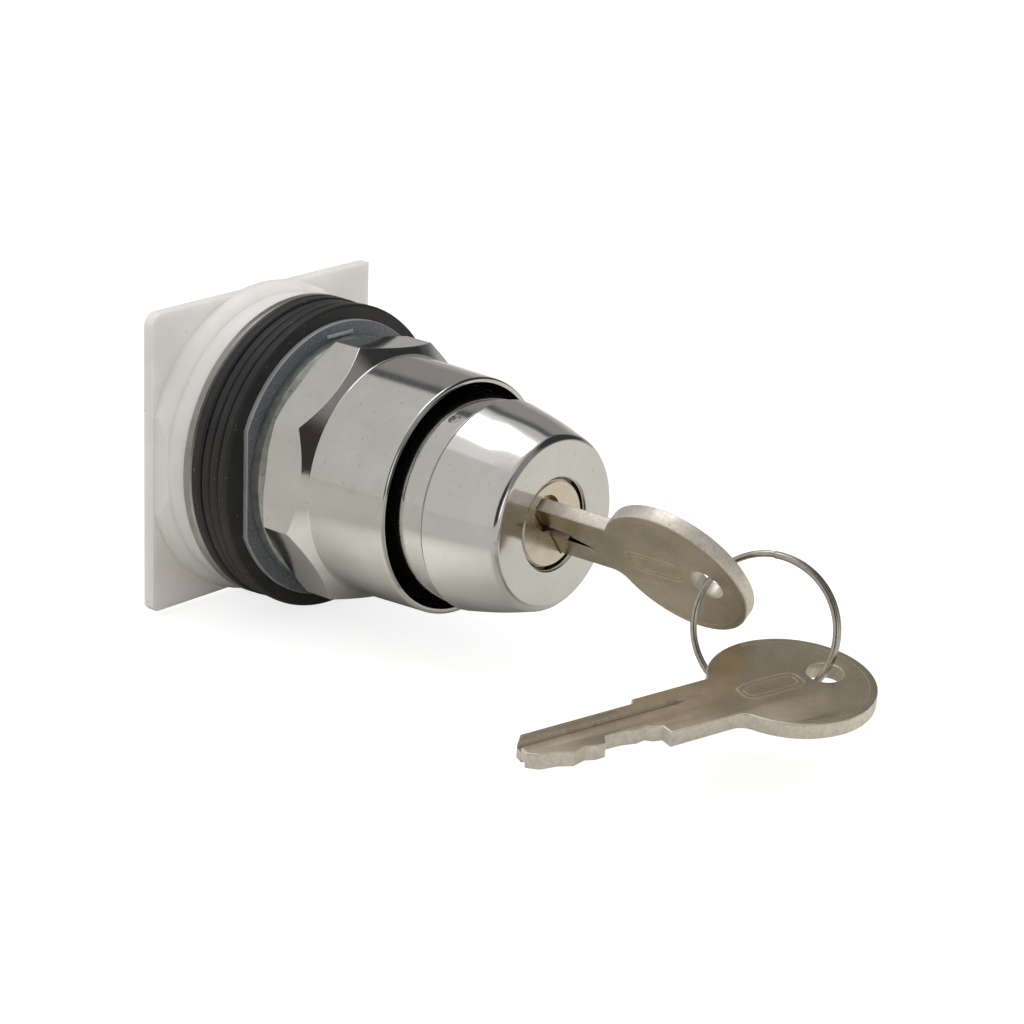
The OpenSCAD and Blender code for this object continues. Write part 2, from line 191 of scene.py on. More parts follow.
chrome = metal("chrome_plate", (0.86, 0.86, 0.85), (0.77, 0.77, 0.755), (0.06, 0.15),
               5.0, 0.12, 0.3, 0.25, pits=0.3)
bright_chrome = metal("bright_chrome", (0.90, 0.90, 0.90), (0.82, 0.82, 0.81), (0.08, 0.15),
                      6.0, 0.12, 0.10, 0.12, pits=0.2)
rough_zinc = metal("rough_zinc", (0.52, 0.54, 0.50), (0.33, 0.35, 0.32), (0.34, 0.55),
                   1.6, 0.9, 0.6, 0.18, pits=0.7)
satin_zinc = metal("satin_zinc", (0.50, 0.50, 0.48), (0.40, 0.40, 0.385), (0.26, 0.38),
                   3.0, 0.3, 0.3, 0.15, pits=0.3)
bright_steel = metal("bright_steel", (0.70, 0.70, 0.70), (0.56, 0.56, 0.56), (0.18, 0.30),
                     3.0, 0.2, 0.3, 0.08)
brass = metal("turned_brass", (0.83, 0.66, 0.34), (0.68, 0.51, 0.24), (0.20, 0.34),
              3.0, 0.2, 0.3, 0.08)
nickel_face = metal("nickel_key_face", (0.70, 0.61, 0.475), (0.54, 0.465, 0.355), (0.24, 0.38),
                    5.0, 0.35, 0.35, 0.10, pits=0.35)
nickel_edge = metal("nickel_key_edge", (0.97, 0.92, 0.84), (0.76, 0.70, 0.61), (0.26, 0.46),
                    0.7, 0.9, 0.9, 0.38, pits=0.3, bare=0.75, fine_depth=0.022)
nickel_plug = metal("nickel_plug", (0.93, 0.87, 0.75), (0.79, 0.72, 0.60), (0.20, 0.34),
                    2.5, 0.5, 0.5, 0.12, pits=0.5)
worn_line = metal("worn_brass_line", (0.88, 0.74, 0.46), (0.66, 0.56, 0.38), (0.30, 0.45),
                  1.0, 0.3, 0.3, 0.10)
ring_wire_metal = metal("nickel_wire", (0.72, 0.68, 0.62), (0.52, 0.48, 0.43), (0.14, 0.30),
                        1.2, 0.5, 0.5, 0.10)


def paint_shade_inside(made, face_mm, inside):
    """Paints shade: made falls off to the dark inside colour behind the station face_mm, a painted
    shade in the hollow behind that face.
    """
    most, fall_mm = 0.85, 0.35
    tree = made.node_tree
    shader = tree.nodes["Principled BSDF"]
    worn = shader.inputs["Base Color"].links[0].from_socket
    apart = tree.nodes.new("ShaderNodeSeparateXYZ")
    tree.links.new(tree.nodes.new("ShaderNodeTexCoord").outputs["Object"], apart.inputs[0])
    # The share of painted shade grows behind the face
    behind = remap(tree, apart.outputs["Y"], 0, most, -face_mm * MM, (fall_mm - face_mm) * MM)
    tree.links.new(blend_colours(tree, behind, worn, inside), shader.inputs["Base Color"])


# Painted brownish shade in the plug's keyway, behind its face
paint_shade_inside(nickel_plug, 47.4, (0.52, 0.40, 0.25))


def rubber():
    """Black rubber with a cloudy tone, pale dust and a fine skin."""
    made, tree, shader, where = start_material("black_rubber")
    cloud = grain(tree, where, 6.0, 4.0, 0.6)
    dust = grain(tree, where, 0.5, 1.0, 0.5)
    colour = blend_colours(tree, remap(tree, cloud, 0, 1),
                           (0.011, 0.011, 0.012), (0.021, 0.020, 0.020))
    colour = blend_colours(tree, remap(tree, dust, 0, 0.55, 0.74, 0.78), colour, (0.20, 0.20, 0.19))
    tree.links.new(colour, shader.inputs["Base Color"])
    skin = grain(tree, where, 0.16, 3.0, 0.6)
    tree.links.new(remap(tree, skin, 0.38, 0.56), shader.inputs["Roughness"])
    relief(tree, shader, [(grain(tree, where, 3.0, 2.0, 0.5), 0.06, 0.3), (skin, 0.02, 0.35)])
    return made


def plastic(name, pale, deep, gloss, inside, scatter=0.6, cloud_mm=9.0, skin_relief=0.25):
    """Moulded plastic with cloudy depth, specks and a fine skin.

    inside is how far light spreads within it, in mm, and scatter is its share of the
    colour. gloss is the least and the most roughness.
    """
    speck_tone = 0.45
    made, tree, shader, where = start_material(name)
    cloud = grain(tree, where, cloud_mm, 3.0, 0.55)
    colour = blend_colours(tree, remap(tree, cloud, 0, 1), pale, deep)
    specks = grain(tree, where, 0.7, 1.0, 0.5)
    colour = blend_colours(tree, remap(tree, specks, 0, 0.6, 0.77, 0.80), colour,
                           tuple(speck_tone * c for c in deep))
    tree.links.new(colour, shader.inputs["Base Color"])
    skin = grain(tree, where, 0.5, 3.0, 0.6)
    tree.links.new(remap(tree, skin, gloss[0], gloss[1]), shader.inputs["Roughness"])
    shader.inputs["Subsurface Weight"].default_value = scatter
    shader.inputs["Subsurface Radius"].default_value = (1.0, 0.95, 0.88)
    shader.inputs["Subsurface Scale"].default_value = inside * MM
    shader.inputs["IOR"].default_value = 1.49
    relief(tree, shader, [(grain(tree, where, 5.0, 2.0, 0.5), 0.06, 0.25),
                          (skin, 0.008, skin_relief)])
    return made


black_rubber = rubber()
milky = plastic("milky_plastic", (0.78, 0.765, 0.745), (0.71, 0.70, 0.68), (0.32, 0.46), 3.0)
smoky = plastic("smoky_washer", (0.145, 0.155, 0.175), (0.115, 0.125, 0.145), (0.25, 0.29),
                1.2, scatter=0.3, skin_relief=0.06)
# A paler copy of the washer's plastic, a painted highlight for its cut edge and bar
smoky_rim_highlight = plastic("smoky_washer_rim_highlight", (0.33, 0.335, 0.34), (0.27, 0.275, 0.28), (0.25, 0.4),
                    1.2, scatter=0.5, cloud_mm=3.0)
moulded = plastic("moulded_nylon", (0.33, 0.34, 0.36), (0.27, 0.28, 0.30), (0.35, 0.5), 0.8)


# ---------------------------------------------------------------- mesh helpers
def front(x, y, f):
    """A point of the front frame, in mm, as a point of the row frame, in metres."""
    return Vector((x, -f, y)) * MM


FRONT_TURN = Matrix.Rotation(math.radians(90), 4, "X")  # the front frame, turned upright


def finish_mesh(name, mesh, materials, sharp_angle=32):
    """Links mesh as an object with outward normals, smooth but for its sharp edges."""
    edit = bmesh.new()
    edit.from_mesh(mesh)
    bmesh.ops.remove_doubles(edit, verts=edit.verts, dist=2e-7)
    bmesh.ops.dissolve_degenerate(edit, edges=edit.edges, dist=1e-7)
    bmesh.ops.recalc_face_normals(edit, faces=edit.faces)
    edit.to_mesh(mesh)
    edit.free()
    mesh.shade_smooth()
    mesh.set_sharp_from_angle(angle=math.radians(sharp_angle))
    while len(mesh.materials):
        mesh.materials.pop()
    for one in materials:
        mesh.materials.append(one)
    made = bpy.data.objects.new(name, mesh)
    bpy.context.scene.collection.objects.link(made)
    return made


def fillet(corners, steps):
    """A closed outline of (r, f, radius) corners, as points with each corner rounded.

    A point just outside each rounding keeps the long faces beside it shaded flat.
    """
    points = []
    for i, (r, f, radius) in enumerate(corners):
        here = Vector((r, f))
        back = Vector(corners[i - 1][:2]) - here
        ahead = Vector(corners[(i + 1) % len(corners)][:2]) - here
        if radius <= 0 or back.length < 1e-6 or ahead.length < 1e-6:
            points.append(here)
            continue
        # A rounding stays on its own half of the sides beside it
        reach = 0.48 * min(back.length, ahead.length)
        back.normalize()
        ahead.normalize()
        half = back.angle(ahead) / 2
        if half > math.radians(88):  # nearly straight, so it only keeps the count of points
            points.extend([here] * (steps + 3))
            continue
        cut = min(radius / math.tan(half), reach)
        radius = cut * math.tan(half)
        middle = here + (back + ahead).normalized() * (radius / math.sin(half))
        first, last = here + back * cut - middle, here + ahead * cut - middle
        turn = first.angle_signed(last)
        beyond = min(1.25 * cut, 1.02 * reach)
        points.append(here + back * beyond)
        for k in range(steps + 1):
            a = -turn * k / steps
            points.append(middle + Vector((first.x * math.cos(a) - first.y * math.sin(a),
                                           first.x * math.sin(a) + first.y * math.cos(a))))
        points.append(here + ahead * beyond)
    return points


def turned(outline, angles, steps, wave=None):
    """The mesh swept by an outline round the axis.

    outline is a list of corners for fillet(), or a function of the angle that gives
    one. wave moves a point (r, f) at an angle.
    """
    verts, faces = [], []
    for a in angles:
        corners = outline(a) if callable(outline) else outline
        ring = fillet(corners, steps)
        count = len(ring)
        for j, (r, f) in enumerate(ring):
            if wave:
                r, f = wave(a, r, f)
            verts.append(front(r * math.cos(a), r * math.sin(a), f))
    total = len(angles)
    for i in range(total):
        for j in range(count):
            k, m = (i + 1) % total, (j + 1) % count
            faces.append((i * count + j, i * count + m, k * count + m, k * count + j))
    mesh = bpy.data.meshes.new("turned")
    mesh.from_pydata(verts, [], faces)
    return mesh


def even_angles(count):
    """count angles evenly round the circle."""
    return [ROUND * i / count for i in range(count)]


def piece(obj, body, slot_name, *replaced):
    """Lets obj ride on a body in place of CAD nodes. slot_name is not used."""
    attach(obj, body)
    if replaced:
        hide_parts(*replaced)


def settled(obj):
    """obj's mesh with its modifiers applied."""
    bpy.context.view_layer.update()
    graph = bpy.context.evaluated_depsgraph_get()
    return bpy.data.meshes.new_from_object(obj.evaluated_get(graph), depsgraph=graph)


def carve(mesh, cutters):
    """mesh with each cutter mesh taken away from it, exactly."""
    work = bpy.data.objects.new("work", mesh)
    bpy.context.scene.collection.objects.link(work)
    tools = []
    for cutter in cutters:
        tool = bpy.data.objects.new("tool", cutter)
        bpy.context.scene.collection.objects.link(tool)
        tools.append(tool)
        cut = work.modifiers.new("cut", "BOOLEAN")
        cut.solver, cut.operation, cut.object = "EXACT", "DIFFERENCE", tool
    result = settled(work)
    for used in [work, *tools]:
        bpy.data.objects.remove(used)
    return result


def prism(points, low, high):
    """A straight prism over (x, y) points between two heights."""
    edit = bmesh.new()
    base = edit.faces.new([edit.verts.new((x, y, low)) for x, y in points])
    side = bmesh.ops.extrude_face_region(edit, geom=[base])
    moved = [v for v in side["geom"] if isinstance(v, bmesh.types.BMVert)]
    bmesh.ops.translate(edit, verts=moved, vec=(0, 0, high - low))
    bmesh.ops.recalc_face_normals(edit, faces=edit.faces)
    mesh = bpy.data.meshes.new("prism")
    edit.to_mesh(mesh)
    edit.free()
    return mesh


def ring_prism(outer, inner, low, high):
    """A straight-walled ring between two outlines of as many (x, y) points."""
    count = len(outer)
    verts = [(x, y, z) for z in (low, high) for line in (outer, inner) for x, y in line]
    faces = []
    for i in range(count):
        j = (i + 1) % count
        a, b, c, d = i, j, count + i, count + j
        top = 2 * count
        faces += [(a, b, top + b, top + a), (d, c, top + c, top + d),
                  (b, a, c, d), (top + a, top + b, top + d, top + c)]
    mesh = bpy.data.meshes.new("ring")
    mesh.from_pydata(verts, [], faces)
    return mesh


def oval(x, y, half_long, half_wide):
    """A closed oval with nearly straight sides."""
    power, count = 4, 72  # a power of 2 would make an ellipse
    points = []
    for a in even_angles(count):
        c, s = math.cos(a), math.sin(a)
        points.append((x + half_long * math.copysign(abs(c) ** (2 / power), c),
                       y + half_wide * math.copysign(abs(s) ** (2 / power), s)))
    return points


def circle_points(x, y, r, count):
    return [(x + r * math.cos(a), y + r * math.sin(a)) for a in even_angles(count)]


def arc_points(x, y, r, start, end, steps):
    """Points of an arc between two angles in degrees."""
    return [(x + r * math.cos(math.radians(start + (end - start) * i / steps)),
             y + r * math.sin(math.radians(start + (end - start) * i / steps)))
            for i in range(steps + 1)]


def slab(outlines, thickness, bevel, steps):
    """A flat plate with rounded edges over closed outlines, the first its rim."""
    curve = bpy.data.curves.new("slab", "CURVE")
    curve.dimensions, curve.fill_mode = "2D", "BOTH"
    curve.extrude, curve.bevel_depth = thickness / 2 - bevel, bevel
    curve.bevel_resolution, curve.offset = steps, -bevel
    for outline in outlines:
        spline = curve.splines.new("POLY")
        spline.points.add(len(outline) - 1)
        for point, (x, y) in zip(spline.points, outline):
            point.co = (x, y, 0, 1)
        spline.use_cyclic_u = True
    work = bpy.data.objects.new("slab", curve)
    bpy.context.scene.collection.objects.link(work)
    mesh = settled(work)
    bpy.data.objects.remove(work)
    edit = bmesh.new()
    edit.from_mesh(mesh)
    bmesh.ops.remove_doubles(edit, verts=edit.verts, dist=1e-3)  # a slab is in mm
    bmesh.ops.recalc_face_normals(edit, faces=edit.faces)
    edit.to_mesh(mesh)
    edit.free()
    return mesh


# ---------------------------------------------------------------- gaskets
def gasket(node, index, radius, seed):
    """One of the stacked rings, its rim a little uneven. seed sets how."""
    low, high = GASKET_THICKNESS * index + 0.01, GASKET_THICKNESS * index + 1.69
    rim_rounding, sunk, lift = 0.5, 0.05, 0.035

    def wave(a, r, f):
        around = Vector((math.cos(a) * 1.6, math.sin(a) * 1.6, seed))
        share = max(0.0, (r - 20) / 2.4)  # from none inside to all at the rim
        return (r - sunk * share + sunk * share * noise.noise(around * 2.2),
                f + lift * share * noise.noise(around * 1.7 + Vector((3, 1, 7))))

    outline = [(RING_BORE, low, 0), (radius, low, rim_rounding),
               (radius, high, rim_rounding), (RING_BORE, high, 0)]
    mesh = turned(outline, even_angles(220), 6, wave)
    piece(finish_mesh(node + "_rubber", mesh, [black_rubber]), "operator", "black_rubber", node)


gasket("rear_gasket", 0, 22.4, 1.3)
gasket("inner_spacer_gasket", 1, 22.15, 4.1)
gasket("outer_spacer_gasket", 2, 22.3, 7.7)
gasket("front_gasket", 3, 22.4, 9.2)


# ---------------------------------------------------------------- trim washer
def washer():
    """The trim washer with its two side flats and the small raised bar at its top."""
    def outline(a):
        flat = WASHER_FLAT / max(abs(math.cos(a)), 1e-6)
        r = min(WASHER_RADIUS, flat)
        return [(RING_BORE, WASHER_BACK, 0), (r, WASHER_BACK, 0.06),
                (r, WASHER_FRONT, 0.16), (RING_BORE, WASHER_FRONT, 0)]

    corner = math.acos(WASHER_FLAT / WASHER_RADIUS)
    angles = sorted([*even_angles(200), corner, ROUND / 2 - corner, ROUND / 2 + corner,
                     ROUND - corner])
    mesh = turned(outline, angles, 3)
    left, right, bottom, top, bar_station = -3.0, 2.2, 18.36, 18.86, 7.7
    bar = slab([[(left, bottom), (right, bottom), (right, top), (left, top)]], 0.4, 0.08, 2)
    bar.transform(Matrix.Scale(MM, 4) @ FRONT_TURN @ Matrix.Translation((0, 0, bar_station)))
    edit = bmesh.new()
    edit.from_mesh(mesh)
    edit.from_mesh(bar)
    edit.to_mesh(mesh)
    edit.free()
    made = finish_mesh("trim_washer_smoky", mesh, [smoky, smoky_rim_highlight])
    # The cut edge and the bar are painted paler than the face, a painted highlight
    for face in made.data.polygons:
        beside = Vector((face.center.x, 0, face.center.z)).length
        if beside > 0.0184 and face.normal.y > -0.85:
            face.material_index = 1
        if face.center.z > 0.01834 and face.center.y < -0.00761:
            face.material_index = 1
    piece(made, "operator", "grey_plastic", "trim_washer")


washer()


# ---------------------------------------------------------------- ring nut
def ring_nut():
    """The octagonal nut with its dull skirt and its long sleeve."""
    apothem, turn_to = NUT_CORNER * math.cos(math.radians(22.5)), math.radians(NUT_TURN)
    eighth = ROUND / 8
    skirt_front, dull_behind = 10.6, 10.58

    def octagon(a):
        """Radius of the octagon at angle a, its corners a little rounded."""
        off = (a - turn_to) % eighth - eighth / 2
        here = apothem / math.cos(off)
        beside = apothem / math.cos(off - math.copysign(eighth, off))
        soft = 0.16
        close = max(soft - abs(here - beside), 0) / soft
        return here - close * close * soft / 4

    def outline(a):
        r = octagon(a)
        back_r = min(r - 0.03, 18.55)
        back_f = 10.62 + max(0.0, (r - 18.6) / 1.7)
        skirt = [(NUT_BORE, 7.61, 0.1), (18.15, 7.61, 0.2), (18.2, 9.3, 0.2),
                 (17.65, 10.4, 0.1), (17.62, skirt_front, 0.02)]
        # Cones cut the corners off at both ends, the front one at 45 degrees
        flats = [(back_r, skirt_front, 0.05), (r, back_f, 0.07), (r, 35.6 - r, 0.2)]
        sleeve = [(17.42, 18.18, 0.35), (17.05, SLEEVE_FRONT, 0.42),
                  (SLEEVE_BORE, SLEEVE_FRONT, 0.2), (SLEEVE_BORE, BARREL_FRONT, 0.05),
                  (NUT_BORE, BARREL_FRONT, 0.05)]
        return skirt + flats + sleeve

    # Close steps round each corner, and wider ones along each flat
    angles = []
    for k in range(8):
        corner = turn_to + k * eighth
        fine = [math.radians(d) * 0.16 for d in range(-9, 10)]
        coarse = [math.radians(2 + 41 * i / 26) for i in range(27)]
        angles += [corner + d for d in fine] + [corner + d for d in coarse]
    angles = sorted(a % ROUND for a in angles)
    mesh = turned(outline, angles, 4)
    made = finish_mesh("ring_nut_chromed", mesh, [chrome, rough_zinc, bright_chrome], 28)
    for face in made.data.polygons:
        if face.center.y > -dull_behind * MM:
            face.material_index = 1
    piece(made, "operator", "chrome", "ring_nut")


ring_nut()


# ---------------------------------------------------------------- bonnet
def bonnet():
    """The tapered cap round the lock, with the cross pin's hole in its rear part."""
    bore, rear, groove, opening = 9.0, 14.75, 14.5, 6.57
    cap_back, chamber_front, dull_behind = 37.1, 46.6, 36.9
    root = [(bore, 14.3, 0.1), (11.9, 14.3, 0.1), (11.9, BARREL_FRONT, 0)]
    tube = [(rear, BARREL_FRONT, 0.15), (rear, 36.8, 0.14), (groove, 36.8, 0.04),
            (groove, cap_back, 0.04)]
    cap = [(15.15, cap_back, 0.5), (14.02, 42.65, 60), (12.35, BONNET_FRONT, 1.15),
           (opening, BONNET_FRONT, 0.4), (opening, chamber_front, 0.05),
           (bore, chamber_front, 0.05)]
    mesh = turned(root + tube + cap, even_angles(288), 8)
    hole = prism(circle_points(0, 0, PIN_RADIUS, 40), 8.0, 16.5)
    hole.transform(Matrix.Scale(MM, 4) @ FRONT_TURN
                   @ Matrix.Rotation(math.radians(PIN_ANGLE), 4, "Z")
                   @ Matrix.Translation((0, 0, PIN_STATION))
                   @ Matrix.Rotation(math.radians(90), 4, "Y"))
    mesh = carve(mesh, [hole])
    made = finish_mesh("bonnet_chromed", mesh, [bright_chrome, chrome], 30)
    for face in made.data.polygons:
        if face.center.y > -dull_behind * MM:
            face.material_index = 1
    piece(made, "operator", "chrome", "bonnet")


bonnet()


# ---------------------------------------------------------------- keys and ring
def key_mesh(grooves):
    """The key blank in its own frame, in metres: bow at the origin, blade towards -x.

    Each groove is a side (1 or -1), its low and high edges, and the (x, y) of its point.
    """
    neck, blade_end, past, edge_rounding = 2.4, -50, 3, 0.22
    groove_floor, border_floor, rim_floor = 0.4, 1.02, 1.05
    turn_at = 180 + math.degrees(math.asin((neck - CUT) / (BOW + neck)))
    neck_x = (BOW + neck) * math.cos(math.radians(turn_at))
    neck_y = (BOW + neck) * math.sin(math.radians(turn_at))
    back_meets = math.degrees(math.asin(BACK / BOW))
    # The shoulder and the back of the blade, its cuts, the neck's curve and the bow
    outline = ([(-KEY_SHOULDER, BACK), (-22.2, 4.6), (-39.4, 4.6), (-40.9, 3), (-41.3, 0.4),
                (-39.9, -0.8), (-37.4, -1.2), (-35.6, -2), (-33.6, -1.5), (-32.4, -2),
                (-30.9, -2), (-30, -0.5), (-27.4, -0.6), (-25.4, -1.1), (-24, -0.9),
                (-23.2, -1.6), (-22, -1.9), (-22, CUT)]
               + arc_points(neck_x, neck_y, neck, 90, turn_at - 180, 8)
               + arc_points(0, 0, BOW, turn_at, 540 - back_meets, 96)[1:])
    outline = outline[::-1]
    hole = circle_points(BOW_HOLE_X, BOW_HOLE_Y, BOW_HOLE_RADIUS, 48)
    mesh = slab([outline, hole], KEY_THICKNESS, edge_rounding, 3)
    # Each groove narrows to its point and comes up to the face on a slope
    tools = []
    for sign, low, high, point_x, point_y in grooves:
        slope, narrows = point_x - 3, point_x - 7
        corners = [(blade_end, low), (narrows, low), (slope, point_y),
                   (slope, point_y + 0.12), (narrows, high), (blade_end, high)]
        groove = (prism(corners, groove_floor, past) if sign > 0
                  else prism(corners, -past, -groove_floor))
        for vert in groove.vertices:
            if vert.co.x > slope - 0.1 and abs(vert.co.z) > 1:
                vert.co.x = point_x
        tools.append(groove)
    # A plain pressed slot with a double border, and a fine line inside the rim of the bow
    for half_long, half_wide, line in ((4.9, 2.1, 0.3), (4.1, 1.3, 0.24)):
        for low, high in ((border_floor, 2), (-2, -border_floor)):
            tools.append(ring_prism(oval(-3.4, 0.2, half_long, half_wide),
                                    oval(-3.4, 0.2, half_long - line, half_wide - line),
                                    low, high))
    rim = arc_points(0, 0, 10.15, -118, 112, 80) + arc_points(0, 0, 10.02, 112, -118, 80)
    tools += [prism(rim, rim_floor, 2), prism(rim, -2, -rim_floor)]
    mesh = carve(mesh, tools)
    mesh.transform(Matrix.Scale(MM, 4))
    return mesh


def add_keys():
    """The key in the lock and the spare key, each with the grooves that the photo shows."""
    lean = Matrix.Rotation(math.radians(KEY_LEAN), 4, "Z")
    station = BONNET_FRONT + KEY_SHOULDER - KEY_SINK
    in_lock = (FRONT_TURN @ lean @ Matrix.Translation((0, -1.3 * MM, station * MM))
               @ Matrix.Rotation(math.radians(-90), 4, "Y"))
    spare = (Matrix.Translation(Vector(SPARE_HOLE) * MM)
             @ Matrix.Rotation(math.radians(-15.8), 4, "Z")
             @ Matrix.Rotation(math.radians(-2.7), 4, "Y")
             @ Matrix.Rotation(math.radians(8), 4, "X")
             @ Matrix.Translation((-BOW_HOLE_X * MM, -BOW_HOLE_Y * MM, 0)))
    back_groove = (-1, 0.6, 1.8, -12, 1.2)
    for name, body, node, place, grooves in (
            ("operating_key_nickel", "lock_key", "operating_key", in_lock,
             ((1, 0.1, 2.0, -11.5, 0.0), back_groove)),
            ("spare_key_nickel", "second_key", "spare_key", spare,
             ((1, 1.8, 3.1, -10.2, 2.6), (1, 3.7, 4.15, -22.5, 4.0), back_groove))):
        made = finish_mesh(name, key_mesh(grooves), [nickel_face, nickel_edge, worn_line], 30)
        # Bright edges, and worn lines at the bottom of the pressed marks
        for face in made.data.polygons:
            if abs(face.normal.z) < 0.9:
                face.material_index = 1
            elif abs(face.center.z) < 1.06 * MM and face.center.x > -9 * MM:
                face.material_index = 2
        made.data.transform(place)
        piece(made, body, "nickel", node)


add_keys()


def split_ring():
    """One turn of wire and 216 degrees more, stepping over between its two levels."""
    wire, lap = RING_WIRE_RADIUS, 0.92 * RING_WIRE_RADIUS
    start, sweep, step_start, step_length = 180, 576, 410, 110
    count, sides, shrink = 420, 20, 0.995
    verts, faces = [], []
    # Each station is a share of the wire's length and of its radius, rounded at both ends
    stations = [(0.0, 0.5), (0.0006, 0.85), (0.0016, 1.0)]
    stations += [(0.0016 + (1 - 0.0032) * i / count, 1.0) for i in range(1, count)]
    stations += [(0.9984, 1.0), (0.9994, 0.85), (1.0, 0.5)]
    for share, size in stations:
        a = start + sweep * share
        step = min(max((a - step_start) / step_length, 0.0), 1.0)
        height = -lap + 2 * lap * step * step * (3 - 2 * step)
        out = Vector((math.cos(math.radians(a)), math.sin(math.radians(a)), 0))
        for j in range(sides):
            b = ROUND * j / sides
            radius = wire * size * shrink
            verts.append(out * (RING_RADIUS + radius * math.cos(b))
                         + Vector((0, 0, height + radius * math.sin(b))))
    rings = len(stations)
    for i in range(rings - 1):
        for j in range(sides):
            k = (j + 1) % sides
            faces.append((i * sides + j, i * sides + k, (i + 1) * sides + k, (i + 1) * sides + j))
    faces.append(tuple(range(sides)))
    faces.append(tuple(range((rings - 1) * sides, rings * sides)))
    mesh = bpy.data.meshes.new("wire")
    mesh.from_pydata([v * MM for v in verts], [], faces)
    made = finish_mesh("split_ring_wire", mesh, [ring_wire_metal], 40)
    made.data.transform(Matrix.Translation(Vector(RING_CENTRE) * MM)
                        @ Matrix.Rotation(math.radians(18.6), 4, "Z")
                        @ Matrix.Rotation(math.radians(104), 4, "Y"))
    piece(made, "split_ring", "ring_steel", "key_ring")


split_ring()


# ---------------------------------------------------------------- CAD nodes that stay
def keep(node, made, bevel_mm=0.0):
    """A CAD node keeps its shape and gets a finished material and, if asked, broken edges."""
    obj = nodes[node]
    for slot in obj.material_slots:
        slot.material = made
    if bevel_mm:
        weld = obj.modifiers.new("weld", "WELD")
        weld.merge_threshold = 2e-6
        flat = obj.modifiers.new("flat", "DECIMATE")
        flat.decimate_type, flat.angle_limit = "DISSOLVE", math.radians(0.6)
        edge = obj.modifiers.new("edge", "BEVEL")
        edge.width, edge.segments = bevel_mm * MM, 2
        edge.limit_method, edge.angle_limit = "ANGLE", math.radians(40)


for node, made, bevel_mm in (
        ("base_plate", milky, 0.15), ("operator_body", satin_zinc, 0.08),
        ("bonnet_seal", black_rubber, 0), ("lock_barrel", rough_zinc, 0),
        ("barrel_pin", bright_steel, 0.1), ("base_screws", bright_steel, 0.1),
        ("contact_inserts", brass, 0.1), ("lock_plug", nickel_plug, 0), ("lock_wafers", brass, 0),
        ("wafer_springs", bright_steel, 0), ("plug_clip", bright_steel, 0.05),
        ("drive_tail", bright_steel, 0.1), ("cam_rotor", moulded, 0.1),
        ("detent_balls", bright_steel, 0), ("detent_springs", bright_steel, 0),
        ("left_plunger", moulded, 0.1),
        ("right_plunger", moulded, 0.1), ("left_plunger_spring", bright_steel, 0),
        ("right_plunger_spring", bright_steel, 0)):
    keep(node, made, bevel_mm)


# ---------------------------------------------------------------- studio
def by_ray(tree, shown, reflected):
    """One colour where the camera looks at the surroundings, another where the object does."""
    rays = tree.nodes.new("ShaderNodeLightPath")
    return blend_colours(tree, rays.outputs["Is Camera Ray"], reflected, shown)


def toward(tree, direction, aim, low, high):
    """How far a direction points along aim, from 0 at low to 1 at high."""
    dot = tree.nodes.new("ShaderNodeVectorMath")
    dot.operation = "DOT_PRODUCT"
    tree.links.new(direction, dot.inputs[0])
    dot.inputs[1].default_value = Vector(aim).normalized()
    node = tree.nodes.new("ShaderNodeMapRange")
    node.interpolation_type = "SMOOTHSTEP"
    node.inputs["From Min"].default_value, node.inputs["From Max"].default_value = low, high
    tree.links.new(dot.outputs["Value"], node.inputs["Value"])
    return node.outputs["Result"]


def times(tree, first, second):
    """The product of two sockets."""
    node = tree.nodes.new("ShaderNodeMath")
    node.operation = "MULTIPLY"
    tree.links.new(first, node.inputs[0])
    tree.links.new(second, node.inputs[1])
    return node.outputs["Value"]


def add_floor():
    """A floor that is plain and pale to the camera, and to reflections a card with painted shadows
    and painted light.
    """
    low = min(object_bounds()[0].z, -0.0232)
    made, tree, shader, where = start_material("studio_floor")
    cloud = grain(tree, where, 60.0)
    pale = blend_colours(tree, cloud, (0.42, 0.42, 0.42), (0.40, 0.40, 0.40))
    apart = tree.nodes.new("ShaderNodeSeparateXYZ")
    tree.links.new(where, apart.inputs[0])
    # Seen in reflections: darker towards -x and lighter towards +x
    painted_floor_light_shade = blend_colours(tree, remap(tree, apart.outputs["X"], 0, 1, -0.02, 0.02),
                          (0.45, 0.435, 0.40), (0.58, 0.56, 0.51))
    # Painted light and shadow seen in reflections: a pale painted zone beside the nut on its left,
    # and dark painted shadows under its right and under the key's bow, each with its centre, inner
    # and outer radius, and tone
    for centre, inner, outer, tone in (
            ((-0.032, -0.022, low), 0.012, 0.036, (0.78, 0.76, 0.70)),
            ((0.014, -0.020, low), 0.016, 0.027, (0.34, 0.33, 0.31)),
            ((0.007, -0.070, low), 0.004, 0.015, (0.24, 0.22, 0.19))):
        near = tree.nodes.new("ShaderNodeVectorMath")
        near.operation = "DISTANCE"
        tree.links.new(where, near.inputs[0])
        near.inputs[1].default_value = centre
        outside = remap(tree, near.outputs["Value"], 0, 1, inner, outer)
        painted_floor_light_shade = blend_colours(tree, outside, tone, painted_floor_light_shade)
    tree.links.new(by_ray(tree, pale, painted_floor_light_shade), shader.inputs["Base Color"])
    shader.inputs["Roughness"].default_value = 0.9
    shader.inputs["Specular IOR Level"].default_value = 0.0
    own_light = (0.78, 0.78, 0.78)
    tree.links.new(by_ray(tree, own_light, (0, 0, 0)), shader.inputs["Emission Color"])
    shader.inputs["Emission Strength"].default_value = 1.0
    half = 3  # metres
    mesh = bpy.data.meshes.new("floor")
    mesh.from_pydata([(-half, -half, low), (half, -half, low), (half, half, low),
                      (-half, half, low)], [], [(0, 1, 2, 3)])
    mesh.materials.append(made)
    floor = bpy.data.objects.new("floor", mesh)
    bpy.context.scene.collection.objects.link(floor)


